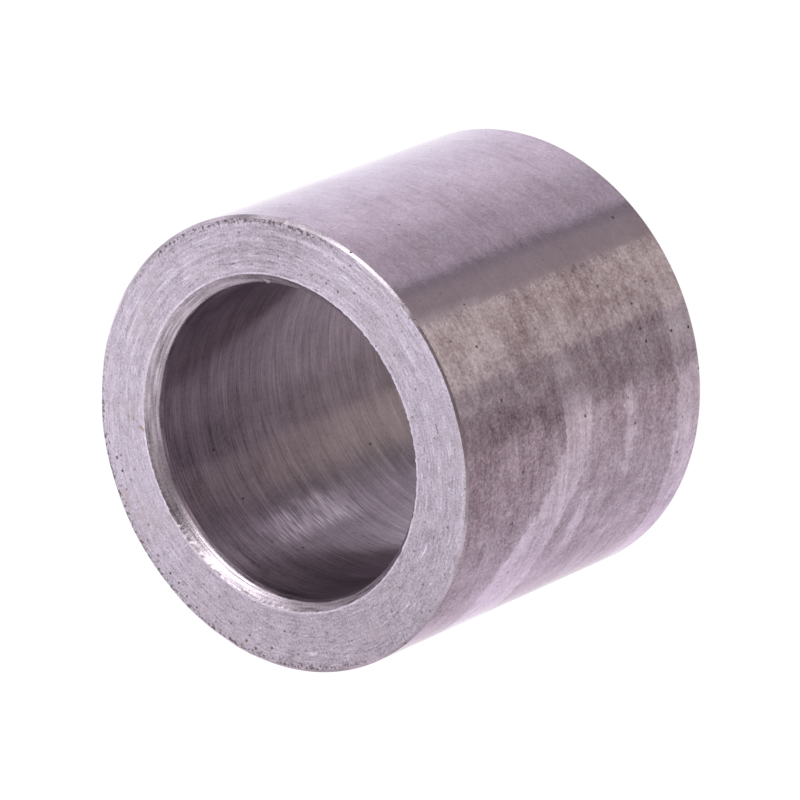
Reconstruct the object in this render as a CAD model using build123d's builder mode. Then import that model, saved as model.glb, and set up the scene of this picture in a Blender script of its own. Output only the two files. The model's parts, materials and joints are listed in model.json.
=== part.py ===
"""Spacer sleeve: one turned steel ring with a plain through bore, standing on its end.

The origin is the centre of the lower end face, and +Z runs along the bore to the upper end.
"""
import os

from build123d import *

# Driving dimensions, in millimetres
bore_diameter = 25.0    # clears a 24 mm bolt or shaft
wall_thickness = 5.5
sleeve_length = 30.0    # face to face, the gap that the sleeve keeps
edge_break = 0.25       # 45 degree chamfer round the outside of both ends
bore_chamfer = 0.7      # 45 degree chamfer at both mouths of the bore
lead_in_depth = 0.5     # short taper under the upper chamfer, where the bolt goes in
lead_in_flare = 0.1     # how far that taper opens the bore, on the radius

bore_radius = bore_diameter / 2
outer_radius = bore_radius + wall_thickness

# The wall's section, as (radius, height): up the outside, across the upper face, down the bore
lead_in_radius = bore_radius + lead_in_flare
chamfer_foot = sleeve_length - bore_chamfer
outside = [
    (outer_radius - edge_break, 0),
    (outer_radius, edge_break),
    (outer_radius, sleeve_length - edge_break),
    (outer_radius - edge_break, sleeve_length),
]
inside = [
    (lead_in_radius + bore_chamfer, sleeve_length),
    (lead_in_radius, chamfer_foot),
    (bore_radius, chamfer_foot - lead_in_depth),
    (bore_radius, bore_chamfer),
    (bore_radius + bore_chamfer, 0),
]

# Sleeve: the section turned once round the bore's axis
with BuildPart() as sleeve:
    with BuildSketch(Plane.XZ):
        with BuildLine():
            Polyline(*outside, *inside, close=True)
        make_face()
    revolve(axis=Axis.Z)
sleeve.part.label = "sleeve"

os.makedirs("parts", exist_ok=True)
export_step(sleeve.part, "parts/sleeve.step")
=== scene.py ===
import json
import math
import random

import bmesh
import bpy
from mathutils import Matrix, Vector, noise


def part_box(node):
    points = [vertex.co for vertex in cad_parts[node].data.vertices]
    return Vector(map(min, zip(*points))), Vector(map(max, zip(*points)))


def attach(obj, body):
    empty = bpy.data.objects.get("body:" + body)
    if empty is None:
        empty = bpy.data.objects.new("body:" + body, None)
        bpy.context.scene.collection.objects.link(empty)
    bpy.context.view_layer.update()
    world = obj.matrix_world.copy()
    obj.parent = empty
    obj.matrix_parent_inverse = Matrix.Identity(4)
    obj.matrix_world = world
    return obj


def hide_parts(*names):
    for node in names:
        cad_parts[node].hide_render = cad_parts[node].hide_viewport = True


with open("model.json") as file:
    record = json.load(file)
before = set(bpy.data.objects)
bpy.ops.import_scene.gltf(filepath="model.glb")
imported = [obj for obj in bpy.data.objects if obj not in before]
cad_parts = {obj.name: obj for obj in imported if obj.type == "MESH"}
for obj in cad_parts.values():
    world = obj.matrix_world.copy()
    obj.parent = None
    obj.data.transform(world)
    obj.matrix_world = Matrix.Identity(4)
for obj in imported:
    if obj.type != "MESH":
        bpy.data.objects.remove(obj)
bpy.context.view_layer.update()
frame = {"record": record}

# ---------------------------------------------------------------------------------------------
# Spacer sleeve: one piece of mild steel bar, turned outside, bored through and faced square.
# Both ends have a light edge break outside and a chamfer inside, and the upper mouth has a
# narrow lead-in taper below its chamfer. The edges were eased by hand, so they are uneven.
# ---------------------------------------------------------------------------------------------
MM = 0.001
low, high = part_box("sleeve")
bore_mount = next(mount for mount in frame["record"]["mounts"] if mount["name"] == "bore")
outer_radius = high.y
bore_radius = bore_mount["dims"]["r_mm"] * MM
edge_break = 0.25 * MM
bore_chamfer = 0.7 * MM
lead_in_depth = 0.5 * MM
lead_in_flare = 0.1 * MM
mouth_radius = bore_radius + lead_in_flare + bore_chamfer
mouth_depth = bore_chamfer + lead_in_depth
turns = 720                     # flats round the circle, fine enough for a smooth rim
bevel_cuts = 3                  # cuts across each plain bevel, so that it can be rounded
rim_rings = (6, 4)              # rings under the upper rim, in edge breaks down, where its unevenness ends
facing_feed = 0.15 * MM         # between the rings that the facing tool left on the end
facing_depth = 0.004 * MM
chamfer_grooves = 11            # cuts across the mouth's chamfer, with rings between them
groove_depth = 0.008 * MM
shallowest_groove = 0.4         # as a share of the deepest
ridge_width = 1.5 * facing_feed
ridge_height = 0.018 * MM       # burr that the chamfer tool raised round the mouth
close = 0.01 * MM               # nearer than this is the same place on the section
same_point = 0.0001 * MM

# The lip that the taper starts with is worn round. Each step is (radius past the bore's, depth) in mm.
worn_lip = [(0.22, 0.58), (0.215, 0.62), (0.20, 0.625), (0.125, 0.70), (0.07, 0.78), (0.03, 0.87), (0.01, 0.97)]
lip_radius = bore_radius + worn_lip[0][0] * MM
section = [
    (outer_radius - edge_break, low.z),
    (outer_radius, low.z + edge_break),
    *[(outer_radius, high.z - breaks * edge_break) for breaks in rim_rings],
    (outer_radius, high.z - edge_break),
    (outer_radius - edge_break, high.z),
    (mouth_radius, high.z),
    *[(bore_radius + past * MM, high.z - depth * MM) for past, depth in worn_lip],
    (bore_radius, high.z - bore_chamfer - lead_in_depth),
    (bore_radius, low.z + bore_chamfer),
    (bore_radius + bore_chamfer, low.z),
]
turned = bmesh.new()
corners = [turned.verts.new((radius, 0, height)) for radius, height in section]
walls = [turned.edges.new(pair) for pair in zip(corners, corners[1:] + corners[:1])]
lower_break, upper_break, upper_end, mouth_chamfer, lower_chamfer = (walls[place] for place in (0, 4, 5, 6, -2))
facing_cuts = round((outer_radius - edge_break - mouth_radius) / facing_feed)
bmesh.ops.subdivide_edges(turned, edges=[upper_end], cuts=facing_cuts)
bmesh.ops.subdivide_edges(turned, edges=[mouth_chamfer], cuts=chamfer_grooves)
bmesh.ops.subdivide_edges(turned, edges=[lower_break, upper_break, lower_chamfer], cuts=bevel_cuts)
tool_marks = random.Random(4)
for vert in turned.verts:
    radius, height = vert.co.x, vert.co.z
    if abs(height - high.z) < close and mouth_radius + close < radius < outer_radius - edge_break - close:
        vert.co.z -= facing_depth * tool_marks.random()
        if radius < mouth_radius + ridge_width:
            vert.co.z = high.z + ridge_height
    elif lip_radius + close < radius < mouth_radius - close and height > high.z - bore_chamfer:
        ring_number = round((radius - lip_radius) / (mouth_radius - lip_radius) * (chamfer_grooves + 1))
        groove = groove_depth * tool_marks.uniform(shallowest_groove, 1.0) * (-1) ** (ring_number // 2)
        vert.co.x += groove
        vert.co.z += groove
bmesh.ops.spin(
    turned, geom=turned.verts[:] + turned.edges[:], axis=(0, 0, 1), cent=(0, 0, 0),
    angle=math.tau, steps=turns, use_merge=True,
)
bmesh.ops.remove_doubles(turned, verts=turned.verts[:], dist=same_point)
bmesh.ops.recalc_face_normals(turned, faces=turned.faces[:])

# Each face takes the finish of the cut that made it, told by how far it faces along the axis
OUTSIDE, FACED, BORED, BEVELLED = range(4)
on_an_end, on_a_bevel = 0.9, 0.1
mid_wall = (outer_radius + bore_radius) / 2
for face in turned.faces:
    facing = abs(face.normal.z)
    middle = face.calc_center_median()
    in_the_mouth = middle.xy.length < mouth_radius and high.z - middle.z < mouth_depth
    if facing > on_an_end:
        face.material_index = FACED
    elif facing > on_a_bevel or in_the_mouth:
        face.material_index = BEVELLED
    elif middle.xy.length > mid_wall:
        face.material_index = OUTSIDE
    else:
        face.material_index = BORED
    face.smooth = True


def unevenness(place, wave, seed):
    """A slow swing from -1 to 1 along an edge, each about one wave long."""
    return noise.noise(Vector((place.x / wave, place.y / wave, seed)))


# The eased edges: the file rounded the outer edge and cut it back more on one side than the other,
# the mouth's chamfer is a little off centre, and a knock and a burr are left on the rims.
least_filed = math.radians(-112)        # the side where the file took least off the outer edge
filed_swing = 0.07 * MM
long_waver, short_waver = 0.05 * MM, 0.03 * MM
rim_rounding = 0.010 * MM
off_centre = 0.17 * MM                  # how far the mouth's chamfer sits off the bore's axis
off_centre_bearing = math.radians(25)
shift = Vector((math.cos(off_centre_bearing), math.sin(off_centre_bearing), 0)) * off_centre
torn_out, torn_up = 0.035 * MM, 0.03 * MM   # how far the ridge round the mouth is torn
torn_middle = math.radians(125)         # the side where it is torn most
torn_more = 1.6                         # how much more, and how narrowly
mouth_fade = 2 * facing_feed            # the mouth's unevenness fades out over this
mouth_reach = mouth_radius + 3 * facing_feed
nick_reach = 0.35 * MM                  # half the length of the knock and of the burr
knock_bearing, knock_depth = math.radians(-31), 0.07 * MM
burr_bearing, burr_height = math.radians(-21), 0.10 * MM
burr_width, burr_depth = 0.12 * MM, 0.8 * MM
upward = Vector((0, 0, 1))
for vert in turned.verts:
    radius = vert.co.xy.length
    outward = Vector((vert.co.x, vert.co.y, 0)) / radius
    bearing = math.atan2(vert.co.y, vert.co.x)
    down = high.z - vert.co.z
    if down < edge_break + close and radius > outer_radius - edge_break - close:
        share = down / edge_break
        spared = filed_swing * math.cos(bearing - least_filed)
        spared += long_waver * unevenness(vert.co, 4 * MM, 1.0)
        spared += short_waver * unevenness(vert.co, 0.8 * MM, 2.0)
        vert.co += outward * spared * (1 - share) + upward * spared * share
        vert.co += (outward + upward) * rim_rounding * math.sin(math.pi * share)
        if abs(bearing - knock_bearing) * outer_radius < nick_reach:
            vert.co -= (outward + upward) * knock_depth
    if down < mouth_depth and radius < mouth_reach:
        share = max(0.0, min(1.0, (radius - bore_radius) / (mouth_radius - bore_radius)))
        fade = max(0.0, min(1.0, (mouth_reach - radius) / mouth_fade))
        torn = share ** 4 * (1 + torn_more * max(0.0, math.cos(torn_more * (bearing - torn_middle))))
        ragged = outward * torn_out * unevenness(vert.co, 0.35 * MM, 3.0)
        ragged += upward * torn_up * unevenness(vert.co, 0.3 * MM, 7.0)
        vert.co += (shift * share + ragged * torn) * fade
    from_burr = abs(bearing - burr_bearing) * bore_radius
    if from_burr < nick_reach and abs(radius - lip_radius) < burr_width and down < burr_depth:
        vert.co -= outward * burr_height * (1 - from_burr / nick_reach)

sleeve_mesh = bpy.data.meshes.new("turned_sleeve")
turned.to_mesh(sleeve_mesh)
turned.free()
sleeve = bpy.data.objects.new("turned_sleeve", sleeve_mesh)
bpy.context.scene.collection.objects.link(sleeve)
sleeve_mesh.set_sharp_from_angle(angle=math.radians(22))


def add(tree, kind, **settings):
    """A node of that kind. A setting named after a socket sets or links it, and others set the node."""
    node = tree.nodes.new(kind)
    for name, value in settings.items():
        sockets = [s for s in node.inputs if s.identifier == name or s.name.replace(" ", "_") == name]
        if not sockets:
            setattr(node, name, value)
        elif isinstance(value, bpy.types.NodeSocket):
            tree.links.new(value, sockets[0])
        else:
            sockets[0].default_value = value
    return node


def fill(tree, sockets, values):
    """Sets or links each socket in turn."""
    for socket, value in zip(sockets, values):
        if isinstance(value, bpy.types.NodeSocket):
            tree.links.new(value, socket)
        else:
            socket.default_value = value


def maths(tree, operation, *values, clamp=False):
    node = tree.nodes.new("ShaderNodeMath")
    node.operation = operation
    node.use_clamp = clamp
    fill(tree, node.inputs, values)
    return node.outputs[0]


def product(tree, first, *others):
    """Shares or strengths multiplied together."""
    for other in others:
        first = maths(tree, "MULTIPLY", first, other)
    return first


def raised(tree, value, share, amount):
    """The value, higher by the amount where the share is 1, and by part of it where that is less."""
    return maths(tree, "MULTIPLY_ADD", share, amount, value)


def blended(tree, share, first, second, mode="MIX"):
    """A colour mix of two colours or sockets."""
    node = tree.nodes.new("ShaderNodeMix")
    node.data_type = "RGBA"
    node.blend_type = mode
    fill(tree, (node.inputs[0], node.inputs[6], node.inputs[7]), (share, first, second))
    return node.outputs[2]


def ramped(tree, value, start, end):
    """0 at start and 1 at end, smoothly between."""
    node = add(tree, "ShaderNodeMapRange", interpolation_type="SMOOTHSTEP", Value=value)
    fill(tree, (node.inputs["From Min"], node.inputs["From Max"]), (start, end))
    return node.outputs[0]


def between(tree, value, start, end, soft):
    """1 between start and end, 0 outside, with soft edges."""
    rising = ramped(tree, value, start - soft / 2, start + soft / 2)
    falling = ramped(tree, value, end + soft / 2, end - soft / 2)
    return maths(tree, "MULTIPLY", rising, falling)


def varied(tree, lightness, pattern, contrast):
    """The lightness with a pattern's swing about its middle added, contrast times as strong."""
    if isinstance(contrast, bpy.types.NodeSocket):
        swing = maths(tree, "MULTIPLY", maths(tree, "SUBTRACT", pattern, 0.5), contrast)
        return maths(tree, "ADD", lightness, swing)
    return maths(tree, "ADD", lightness, maths(tree, "MULTIPLY_ADD", pattern, contrast, -contrast / 2))


class LathePlaces:
    """Where a point on the sleeve is, in millimetres and degrees, as a turner would give it."""

    def __init__(self, tree):
        self.tree = tree
        place = add(tree, "ShaderNodeTexCoord").outputs["Object"]
        in_mm = add(tree, "ShaderNodeVectorMath", operation="SCALE", Vector=place, Scale=1 / MM)
        self.place = in_mm.outputs[0]
        x, y, height = add(tree, "ShaderNodeSeparateXYZ", Vector=self.place).outputs
        flat = add(tree, "ShaderNodeCombineXYZ", X=x, Y=y).outputs[0]
        self.radius = add(tree, "ShaderNodeVectorMath", operation="LENGTH", Vector=flat).outputs["Value"]
        around = add(tree, "ShaderNodeVectorMath", operation="NORMALIZE", Vector=flat).outputs[0]
        self.turn_x, self.turn_y, _ = add(tree, "ShaderNodeSeparateXYZ", Vector=around).outputs
        self.along = maths(tree, "ADD", self.radius, height)
        self.depth = maths(tree, "SUBTRACT", high.z / MM, height)
        self.bearing = maths(tree, "MULTIPLY", maths(tree, "ARCTAN2", y, x), 360 / math.tau)

    def grain(self, per_mm, detail=2.0, roughness=0.6):
        """Even noise, with about per_mm swings to the millimetre."""
        return add(
            self.tree, "ShaderNodeTexNoise", Vector=self.place, Scale=per_mm, Detail=detail, Roughness=roughness
        ).outputs["Fac"]

    def marks(self, length, width, detail=2.0, seed=0.0):
        """Noise drawn out round the axis, as a turning tool draws it: marks of a length and width in mm."""
        reach = outer_radius / MM / length
        x = maths(self.tree, "MULTIPLY", self.turn_x, reach)
        y = maths(self.tree, "MULTIPLY", self.turn_y, reach)
        z = maths(self.tree, "MULTIPLY_ADD", self.along, 1 / width, seed)
        drawn = add(self.tree, "ShaderNodeCombineXYZ", X=x, Y=y, Z=z).outputs[0]
        return add(
            self.tree, "ShaderNodeTexNoise", Vector=drawn, Scale=1.0, Detail=detail, Roughness=0.6
        ).outputs["Fac"]

    def pits(self, spacing, share, smallest, largest):
        """Small ragged pits in a share of the cells, spacing mm apart: 0 outside, 1 in their middle."""
        tree = self.tree
        raggedness = 0.16
        wander = add(tree, "ShaderNodeTexNoise", Vector=self.place, Scale=6.0, Detail=1.0).outputs["Color"]
        ragged = add(
            tree, "ShaderNodeVectorMath", operation="MULTIPLY_ADD", Vector=wander, Vector_001=(raggedness,) * 3
        )
        tree.links.new(self.place, ragged.inputs[2])
        cells = add(tree, "ShaderNodeTexVoronoi", Vector=ragged.outputs[0], Scale=1 / spacing)
        chance, size, _ = add(tree, "ShaderNodeSeparateColor", Color=cells.outputs["Color"]).outputs
        reach = maths(tree, "MULTIPLY_ADD", size, (largest - smallest) / spacing, smallest / spacing)
        from_middle = maths(tree, "DIVIDE", cells.outputs["Distance"], reach)
        inside = maths(tree, "SUBTRACT", 1.0, from_middle, clamp=True)
        return maths(tree, "MULTIPLY", inside, maths(tree, "LESS_THAN", chance, share))


def steel_shader(material, colour, roughness, height, height_mm, anisotropy):
    """Bare metal whose gloss is drawn out across the tool's marks, which run round the axis."""
    tree = material.node_tree
    shader = tree.nodes["Principled BSDF"]
    tree.links.new(colour, shader.inputs["Base Color"])
    tree.links.new(roughness, shader.inputs["Roughness"])
    shader.inputs["Metallic"].default_value = 1.0
    shader.inputs["Anisotropic"].default_value = anisotropy
    shader.inputs["Anisotropic Rotation"].default_value = 0.25
    tangent = add(tree, "ShaderNodeTangent", direction_type="RADIAL", axis="Z")
    tree.links.new(tangent.outputs[0], shader.inputs["Tangent"])
    bump = add(tree, "ShaderNodeBump", Strength=1.0, Distance=height_mm * MM, Height=height)
    tree.links.new(bump.outputs[0], shader.inputs["Normal"])


def tinted(tree, colour, lightness):
    """The colour made lighter or darker."""
    return add(tree, "ShaderNodeVectorMath", operation="SCALE", Vector=colour, Scale=lightness).outputs[0]


def steel_tint(tree, lightness, wander, dark, light):
    """Worn steel is redder where it is dark and greyer where it is light, and a little mixed."""
    share = ramped(tree, varied(tree, lightness, wander, 1.4), 0.55, 1.45)
    return tinted(tree, blended(tree, share, dark, light), lightness)


pit_brown = (0.085, 0.060, 0.062, 1.0)


def pitted(tree, colour, pit, strength, inside=pit_brown):
    """The colour with brown oxide in its pits."""
    return blended(tree, maths(tree, "MULTIPLY", pit, strength, clamp=True), colour, inside)


def new_steel(name):
    """A finish in the sleeve's next material slot, and its nodes."""
    material = bpy.data.materials.new(name)
    material.use_nodes = True
    sleeve_mesh.materials.append(material)
    return material, material.node_tree


# Outside: the bar's own smooth skin, satin, streaked by the lathe and smeared by handling
material, tree = new_steel("turned_outside")
at = LathePlaces(tree)
grain = at.grain(per_mm=4.2, roughness=0.65)
specked = at.grain(per_mm=3.5)
mottle = at.grain(per_mm=0.9, detail=3.0)
clouds = at.grain(per_mm=0.22, detail=3.0)
edges = at.grain(per_mm=1.2, detail=3.0)
fleck = ramped(tree, at.grain(per_mm=2.6, detail=3.0, roughness=0.7), 0.54, 0.70)
streaks = at.marks(length=0.8, width=0.2)
long_streaks = at.marks(length=5.0, width=0.6, seed=40.0)
wavy_bearing = maths(tree, "MULTIPLY_ADD", edges, 3.0, maths(tree, "SUBTRACT", at.bearing, 1.5))
wavy_depth = maths(tree, "MULTIPLY_ADD", edges, 2.0, maths(tree, "SUBTRACT", at.depth, 1.0))
# One side is rougher. In a strip along its edge, where the wall mirrors a dark panel, the pattern and light flecks
# are mostly taken out as painted shade
rough_side = maths(tree, "MULTIPLY_ADD", ramped(tree, wavy_bearing, -62, -78), 0.5, 0.5)
dark_mirror_strip = between(tree, wavy_bearing, -76, -66.5, soft=1.0)
rough_side_and_shade = product(tree, maths(tree, "MULTIPLY_ADD", dark_mirror_strip, -0.75, 1.0), rough_side)
lightness = 1.0
for pattern, contrast in ((grain, 1.5), (mottle, 0.7), (clouds, 1.0), (streaks, 0.25), (long_streaks, 0.8)):
    lightness = varied(tree, lightness, pattern, product(tree, rough_side_and_shade, contrast))
lightness = raised(tree, lightness, product(tree, fleck, rough_side_and_shade), 0.3)
# A hand's smear runs round the wall and climbs towards the upper end, with thinner ones near it
climb = ramped(tree, at.bearing, -112, -152)
smear_middle = maths(tree, "MULTIPLY_ADD", climb, -4.8, 14.0)
from_smear = maths(tree, "SUBTRACT", wavy_depth, smear_middle)
from_smear = product(tree, from_smear, maths(tree, "MULTIPLY_ADD", climb, -0.4, 1.0))
smear = between(tree, from_smear, -1.7, 1.7, soft=0.4)
smear = product(tree, smear, between(tree, wavy_bearing, -176, -106, soft=8.0))
smear_edge = between(tree, from_smear, 3.0, 4.0, soft=0.4)
smear_edge = product(tree, smear_edge, between(tree, wavy_bearing, -150, -132, soft=3.0))
thin_smear = between(tree, wavy_depth, 20.1, 21.0, soft=0.3)
thin_smear = product(tree, thin_smear, between(tree, wavy_bearing, -132, -108, soft=3.0))
far_smear = between(tree, wavy_depth, 26.8, 31, soft=0.5)
far_smear = product(tree, far_smear, between(tree, wavy_bearing, -172, -92, soft=6.0))
near_smear = between(tree, wavy_depth, -1, 7.6, soft=0.5)
near_smear = product(tree, near_smear, between(tree, wavy_bearing, -96, -74, soft=2.0))
smears = raised(tree, raised(tree, smear, far_smear, 0.9), near_smear, 0.4)
smears = maths(tree, "ADD", smears, product(tree, maths(tree, "ADD", smear_edge, thin_smear), 0.7))
wiped = maths(tree, "MULTIPLY_ADD", at.marks(length=4.0, width=0.3, seed=10.0), 1.8, 0.05)
lightness = raised(tree, lightness, product(tree, smears, wiped), 0.55)
# The strip between the smear and the upper end is duller
dull = product(tree, ramped(tree, from_smear, -1.5, -3.5), between(tree, at.bearing, -166, -100, soft=14.0))
lightness = raised(tree, lightness, dull, -0.17)
darkest = 0.35
lightness = product(tree, maths(tree, "MAXIMUM", lightness, darkest), 0.97)
large_pits = at.pits(spacing=1.1, share=0.3, smallest=0.06, largest=0.17)
small_pits = at.pits(spacing=0.6, share=0.4, smallest=0.03, largest=0.08)
pit = maths(tree, "MAXIMUM", large_pits, small_pits)
colour = steel_tint(tree, lightness, specked, dark=(0.535, 0.395, 0.500, 1.0), light=(0.494, 0.414, 0.510, 1.0))
colour = pitted(tree, colour, pit, 2.0)
gloss = varied(tree, 0.17, mottle, 0.06)
height = maths(tree, "SUBTRACT", raised(tree, grain, streaks, 0.35), pit)
steel_shader(material, colour, gloss, height, height_mm=0.0014, anisotropy=0.8)

# Upper and lower ends: faced with a tool that left fine rings and scratches round the bore
material, tree = new_steel("faced_end")
at = LathePlaces(tree)
grain = at.grain(per_mm=5.5, roughness=0.7)
specked = at.grain(per_mm=3.5)
mottle = at.grain(per_mm=0.8, detail=3.0)
clouds = at.grain(per_mm=0.2)
fine = at.marks(length=1.2, width=0.16)
broad = at.marks(length=9.0, width=0.35, seed=20.0)
scratch = ramped(tree, at.marks(length=2.2, width=0.24, detail=1.0, seed=60.0), 0.66, 0.76)
dark_scratch = ramped(tree, at.marks(length=1.2, width=0.16, detail=1.0, seed=90.0), 0.34, 0.24)
lightness = 1.0
for pattern, contrast in ((grain, 1.3), (mottle, 0.5), (fine, 0.8)):
    lightness = varied(tree, lightness, pattern, contrast)
lightness = varied(tree, lightness, broad, maths(tree, "MULTIPLY_ADD", at.turn_x, 0.5, 0.6))
lightness = raised(tree, lightness, scratch, 0.4)
lightness = raised(tree, lightness, dark_scratch, -0.4)
# Painted light and shade: the end is painted a shade paler on one side and darker on others, for the uneven light
# across it
twice_round = maths(tree, "MULTIPLY_ADD", product(tree, at.turn_x, at.turn_x), 2.0, -1.0)
lightness = raised(tree, lightness, at.turn_x, 0.10)
lightness = raised(tree, lightness, twice_round, -0.06)
painted_light_side = between(tree, at.bearing, 10, 100, soft=50.0)
lightness = raised(tree, lightness, painted_light_side, 0.09)
painted_shade_side = between(tree, at.bearing, -42, -18, soft=20.0)
lightness = raised(tree, lightness, painted_shade_side, -0.16)
# Fresh steel with a painted highlight where the chamfer tool raised its ridge round the mouth, and a painted
# highlight on the face along the filed part of the rim
centre = tuple(shift / MM)
from_centre = add(tree, "ShaderNodeVectorMath", operation="SUBTRACT", Vector=at.place, Vector_001=centre).outputs[0]
from_centre = add(tree, "ShaderNodeVectorMath", operation="MULTIPLY", Vector=from_centre, Vector_001=(1, 1, 0))
from_centre = add(tree, "ShaderNodeVectorMath", operation="LENGTH", Vector=from_centre.outputs[0]).outputs["Value"]
mouth_mm = mouth_radius / MM
fresh_ridge_and_highlight = between(tree, from_centre, mouth_mm - 0.05, mouth_mm + 0.16, soft=0.06)
lightness = raised(tree, lightness, fresh_ridge_and_highlight, 0.32)
rim_highlight = product(tree, ramped(tree, at.radius, 17.2, 17.6), between(tree, at.bearing, -135, -70, soft=10.0))
lightness = raised(tree, lightness, rim_highlight, 0.18)
lightness = product(tree, lightness, 1.04)
# Dirt gathers along the outer rim, where it is wiped less
rim = ramped(tree, raised(tree, at.radius, mottle, 0.8), 17.5, 18.05)
unwiped = between(tree, at.bearing, 55, 175, soft=40.0)
unwiped = maths(tree, "ADD", unwiped, between(tree, at.bearing, -45, 20, soft=20.0))
dirt = product(tree, rim, ramped(tree, at.grain(per_mm=3.2), 0.47, 0.60))
dirt = product(tree, dirt, maths(tree, "MULTIPLY_ADD", unwiped, 0.85, 0.25))
# Pits all over, and more of them on the side that stood in the damp
plain_pits = at.pits(spacing=0.7, share=0.8, smallest=0.05, largest=0.17)
corroded_pits = at.pits(spacing=0.55, share=0.6, smallest=0.06, largest=0.19)
corroded = product(tree, ramped(tree, at.radius, 15.2, 17.2), between(tree, at.bearing, 60, 165, soft=30.0))
pit = maths(tree, "MAXIMUM", plain_pits, product(tree, corroded_pits, product(tree, corroded, 2.2)))
colour = steel_tint(tree, lightness, specked, dark=(0.510, 0.425, 0.515, 1.0), light=(0.495, 0.440, 0.528, 1.0))
blush = product(tree, ramped(tree, clouds, 0.52, 0.66), ramped(tree, at.grain(per_mm=1.5), 0.4, 0.6))
blush_pink = (0.50, 0.40, 0.43, 1.0)
colour = blended(tree, product(tree, blush, 0.5), colour, blush_pink)
colour = blended(tree, product(tree, dirt, 0.75), colour, pit_brown)
rusty = ramped(tree, at.grain(per_mm=0.35, detail=1.0), 0.45, 0.60)
rusty_pit = (0.20, 0.115, 0.085, 1.0)
colour = pitted(tree, colour, pit, 0.9, inside=blended(tree, rusty, pit_brown, rusty_pit))
# Spots of rust in a line run from the mouth's edge part of the way to the rim
rust_brown = (0.36, 0.20, 0.12, 1.0)
drip = raised(tree, at.bearing, at.radius, 2.2)
drip = between(tree, raised(tree, drip, mottle, 2.5), 98.2, 99.8, soft=0.8)
drip = product(tree, drip, between(tree, at.radius, 13.5, 15.1, soft=0.5))
drip = product(tree, drip, ramped(tree, at.grain(per_mm=2.4), 0.44, 0.58))
colour = blended(tree, product(tree, drip, 0.7), colour, rust_brown)
gloss = varied(tree, 0.38, grain, 0.2)
height = maths(tree, "SUBTRACT", raised(tree, fine, grain, 0.5), pit)
steel_shader(material, colour, gloss, height, height_mm=0.006, anisotropy=0.5)

# Bore: bored with a coarser feed, so it is rougher along its length and darker
material, tree = new_steel("bored_wall")
at = LathePlaces(tree)
grain = at.grain(per_mm=4.0)
mottle = at.grain(per_mm=0.5)
fine = at.marks(length=6.0, width=0.16, detail=3.0)
broad = at.marks(length=12.0, width=0.9, detail=3.0, seed=30.0)
scratch = ramped(tree, at.marks(length=7.0, width=0.22, detail=1.0, seed=110.0), 0.64, 0.74)
lightness = 1.0
for pattern, contrast in ((grain, 0.6), (mottle, 0.5), (fine, 1.3), (broad, 0.9)):
    lightness = varied(tree, lightness, pattern, contrast)
lightness = raised(tree, lightness, scratch, 0.35)
# A painted highlight: one side of the bore is painted bright, in fine lines, standing for a reflection there
bore_highlight = between(tree, raised(tree, at.bearing, mottle, 6.0), 115.0, 128.5, soft=7.0)
bore_highlight = product(tree, bore_highlight, between(tree, at.depth, 7.5, 17.5, soft=5.0))
bore_highlight_lines = at.marks(length=2.6, width=0.14, detail=3.0, seed=130.0)
bore_highlight = product(tree, bore_highlight, ramped(tree, bore_highlight_lines, 0.34, 0.70))
lightness = raised(tree, lightness, bore_highlight, 1.6)
# The wall beside it is darker near the mouth and lighter further in
beside = between(tree, at.bearing, 66, 104, soft=22.0)
further_in = maths(tree, "MULTIPLY_ADD", ramped(tree, at.depth, 4, 24), 0.34, -0.15)
lightness = raised(tree, lightness, beside, further_in)
# Painted shade on the other side, near the mouth
mouth_shade = product(tree, ramped(tree, at.bearing, 124, 142), ramped(tree, at.depth, 15.0, 6.0))
lightness = raised(tree, lightness, mouth_shade, -0.28)
pit = at.pits(spacing=1.4, share=0.3, smallest=0.06, largest=0.17)
# The second grey is the tint of the painted highlight
bored_grey, highlight_grey = (0.350, 0.280, 0.345, 1.0), (0.335, 0.290, 0.340, 1.0)
colour = tinted(tree, blended(tree, bore_highlight, bored_grey, highlight_grey), lightness)
colour = pitted(tree, colour, pit, 2.0)
gloss = varied(tree, 0.30, fine, 0.12)
height = maths(tree, "SUBTRACT", raised(tree, fine, grain, 0.15), pit)
steel_shader(material, colour, gloss, height, height_mm=0.012, anisotropy=0.96)

# Bevels: cut with a chamfer tool, the brightest steel on the sleeve, ringed by its edge
material, tree = new_steel("cut_bevels")
at = LathePlaces(tree)
grain = at.grain(per_mm=6.0, roughness=0.7)
fine = at.marks(length=4.0, width=0.34, detail=1.0)
lightness = 1.0
for pattern, contrast in ((grain, 1.0), (fine, 1.9)):
    lightness = varied(tree, lightness, pattern, contrast)
pit = at.pits(spacing=0.8, share=0.4, smallest=0.06, largest=0.15)
bevel_grey = (0.510, 0.432, 0.500)
colour = tinted(tree, bevel_grey, lightness)
# The lip below the chamfer is painted bright on one side, a painted highlight, and the outer rim is painted dark
# red-brown on another, partly a stain and partly painted shade of a dark reflection
lip_highlight = product(tree, ramped(tree, at.depth, 0.55, 0.70), between(tree, at.bearing, 98, 145, soft=16.0))
colour = tinted(tree, colour, maths(tree, "MULTIPLY_ADD", lip_highlight, 0.8, 1.0))
rim_stain_and_shade = (0.17, 0.09, 0.09, 1.0)
on_rim = product(tree, ramped(tree, at.radius, 15, 16), between(tree, at.bearing, -124, -74, soft=8.0))
colour = blended(tree, product(tree, on_rim, 0.45), colour, rim_stain_and_shade)
colour = pitted(tree, colour, pit, 1.8)
gloss = varied(tree, 0.34, grain, 0.25)
height = maths(tree, "SUBTRACT", raised(tree, fine, grain, 0.8), pit)
steel_shader(material, colour, gloss, height, height_mm=0.018, anisotropy=0.4)

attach(sleeve, "root")
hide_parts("sleeve")

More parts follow.
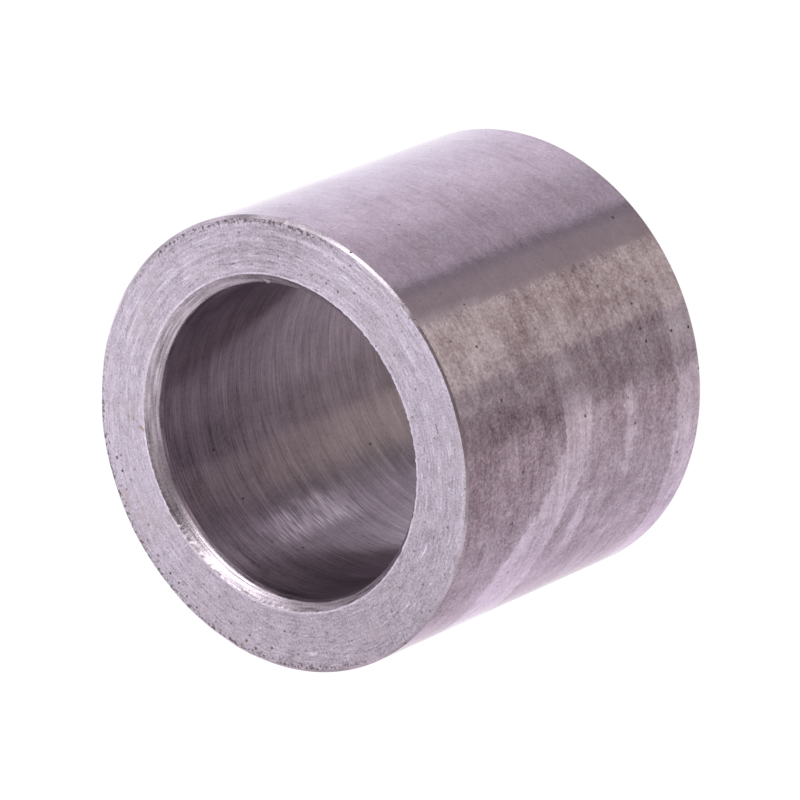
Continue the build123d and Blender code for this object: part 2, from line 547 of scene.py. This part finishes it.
# ---------------------------------------------------------------------------------------------
# Floor: a plain pale table. It shows white to the camera, with the sleeve's soft shadow kept,
# and the steel doesn't mirror it.
# ---------------------------------------------------------------------------------------------
floor_radius = 1.2
floor_edges = 96
floor_gap = 0.02 * MM
floor_build = bmesh.new()
bmesh.ops.create_circle(floor_build, cap_ends=True, segments=floor_edges, radius=floor_radius)
bmesh.ops.translate(floor_build, verts=floor_build.verts[:], vec=(0, 0, low.z - floor_gap))
floor_mesh = bpy.data.meshes.new("floor")
floor_build.to_mesh(floor_mesh)
floor_build.free()
floor = bpy.data.objects.new("floor", floor_mesh)
bpy.context.scene.collection.objects.link(floor)
floor_paint = bpy.data.materials.new("floor_paint")
floor_paint.use_nodes = True
tree = floor_paint.node_tree
tree.nodes.clear()
paint = add(tree, "ShaderNodeBsdfDiffuse", Color=(0.12, 0.12, 0.12, 1.0))
glow = add(tree, "ShaderNodeEmission", Color=(1.0, 1.0, 1.0, 1.0), Strength=0.95)
lit_floor = add(tree, "ShaderNodeAddShader")
fill(tree, lit_floor.inputs, (paint.outputs[0], glow.outputs[0]))
plain_floor = add(tree, "ShaderNodeBsdfDiffuse", Color=(0.8, 0.8, 0.8, 1.0))
seen = add(tree, "ShaderNodeLightPath").outputs["Is Camera Ray"]
choice = add(tree, "ShaderNodeMixShader")
fill(tree, choice.inputs, (seen, plain_floor.outputs[0], lit_floor.outputs[0]))
floor_out = add(tree, "ShaderNodeOutputMaterial")
tree.links.new(choice.outputs[0], floor_out.inputs[0])
floor_mesh.materials.append(floor_paint)
floor.visible_glossy = False

# ---------------------------------------------------------------------------------------------
# Light: a white tent with darker gaps between its panels, and one soft box at the side. Only
# the steel's gloss sees the panels, and the rest is lit evenly.
# ---------------------------------------------------------------------------------------------
world = bpy.data.worlds.new("tent")
bpy.context.scene.world = world
world.use_nodes = True
tree = world.node_tree
tree.nodes.clear()
ray = add(tree, "ShaderNodeTexCoord").outputs["Generated"]
ray_x, ray_y, ray_z = add(tree, "ShaderNodeSeparateXYZ", Vector=ray).outputs
round_tent = maths(tree, "ARCTAN2", ray_x, product(tree, ray_y, -1.0))
round_tent = maths(tree, "MULTIPLY_ADD", round_tent, 1 / math.tau, 0.5)


def panels(stops):
    """A ramp round the horizon. Each stop is (degrees from the front, brightness, warmth, violet)."""
    ramp = add(tree, "ShaderNodeValToRGB", Fac=round_tent)
    ramp.color_ramp.elements.remove(ramp.color_ramp.elements[1])
    for index, (degrees, bright, warm, violet) in enumerate(sorted(stops)):
        place = degrees / 360 + 0.5
        stop = ramp.color_ramp.elements[0] if index == 0 else ramp.color_ramp.elements.new(place)
        stop.position = place
        red = 1 + 0.02 * warm + 0.04 * violet
        green = 1 - 0.04 * violet
        blue = 1 - 0.11 * warm + 0.04 * violet
        stop.color = (bright * red, bright * green, bright * blue, 1.0)
    return ramp.outputs["Color"]


lower_panels = panels([
    (-180, 1.6, 0, 0), (-168, 1.17, 0, 0.3), (-156, 0.91, 0, 1.1), (-144, 0.82, 0, 1.5), (-132, 0.76, 0, 1.2),
    (-96, 0.67, 0.2, 0.4), (-41, 0.61, 0.9, 0.4), (-39.5, 0.42, 1.0, 0.6), (-22, 0.43, 1.0, 0.4),
    (-20.5, 0.50, 1.0, 0), (-17, 0.50, 1.0, 0), (-15.5, 0.42, 1.0, 0.5), (-9, 0.42, 1.0, 0.5),
    (-7.5, 0.60, 1.4, 0), (28, 0.65, 1.5, 0), (29, 0.43, 0.9, 0), (44.5, 0.43, 0.8, 0.2), (45.5, 0.25, -0.2, 0),
    (50, 0.25, -0.4, 0), (51.5, 0.62, 0, 0.3), (72, 0.63, 0, 0), (84, 0.83, -0.2, 0), (96, 0.98, -0.2, 0),
    (120, 1.04, -0.5, 0), (138, 1.12, -0.6, 0), (156, 1.24, -0.4, 0), (168, 1.45, 0, 0), (180, 1.7, 0, 0),
])
upper_panels = panels([
    (-180, 1.0, 0, 0), (-110, 0.95, 0, 0), (-60, 0.85, 0, 0), (-22, 0.32, 0.8, 0.7), (22, 0.32, 0.8, 0.7),
    (60, 0.9, 0, 0), (120, 1.0, 0, 0), (180, 1.0, 0, 0),
])
tent = blended(tree, ramped(tree, ray_z, -0.15, 0.35), lower_panels, upper_panels)
# A white card stands low on one side, between the table and the panels
card_white = (1.1, 1.1, 1.1, 1.0)
from_front = maths(tree, "MULTIPLY_ADD", round_tent, 360.0, -180.0)
low_card = between(tree, from_front, 34, 92, soft=24.0)
low_card = product(tree, low_card, between(tree, ray_z, -0.48, 0.10, soft=0.16))
tent = blended(tree, low_card, tent, card_white)
tent_light = add(tree, "ShaderNodeBackground", Color=tent, Strength=1.0)
soft_light = add(tree, "ShaderNodeBackground", Color=(0.8, 0.8, 0.8, 1.0), Strength=1.0)
white = add(tree, "ShaderNodeBackground", Color=(1.0, 1.0, 1.0, 1.0), Strength=1.0)
path = add(tree, "ShaderNodeLightPath")
in_metal = add(tree, "ShaderNodeMixShader")
fill(tree, in_metal.inputs, (path.outputs["Is Glossy Ray"], soft_light.outputs[0], tent_light.outputs[0]))
backdrop = add(tree, "ShaderNodeMixShader")
fill(tree, backdrop.inputs, (path.outputs["Is Camera Ray"], in_metal.outputs[0], white.outputs[0]))
world_out = add(tree, "ShaderNodeOutputWorld")
tree.links.new(backdrop.outputs[0], world_out.inputs[0])

upper_centre = Vector((0, 0, high.z))
box_width, box_height, box_watts, box_distance = 0.38, 0.19, 0.62, 0.45
box_colour = (0.94, 1.0, 0.95)
box_side = Vector((0.75, -0.36, 0.54)).normalized()
box_data = bpy.data.lights.new("side_box", "AREA")
box_data.shape = "RECTANGLE"
box_data.size = box_width
box_data.size_y = box_height
box_data.energy = box_watts
box_data.color = box_colour
side_box = bpy.data.objects.new("side_box", box_data)
bpy.context.scene.collection.objects.link(side_box)
side_box.location = upper_centre + box_side * box_distance
side_box.rotation_euler = (-box_side).to_track_quat("-Z", "Y").to_euler()

# ---------------------------------------------------------------------------------------------
# Camera: a long lens above the front, rolled over so that the sleeve appears to lie on its side.
# Its places are given from the middle of the upper end.
# ---------------------------------------------------------------------------------------------
lens_mm = 304.96
nearest_seen = 0.01
standing = Vector((0, -348.56, 379.42)) * MM
looking_at = Vector((-0.22, -7.33, -6.48)) * MM
roll = math.radians(-112.03)
camera_data = bpy.data.cameras.new("camera")
camera_data.lens = lens_mm
camera_data.clip_start = nearest_seen
camera = bpy.data.objects.new("camera", camera_data)
bpy.context.scene.collection.objects.link(camera)
bpy.context.scene.camera = camera
camera.location = upper_centre + standing
sight = (looking_at - standing).normalized()
aim = sight.to_track_quat("-Z", "Y").to_matrix() @ Matrix.Rotation(roll, 3, "Z")
camera.rotation_euler = aim.to_euler()

bpy.context.scene.view_settings.view_transform = "Standard"
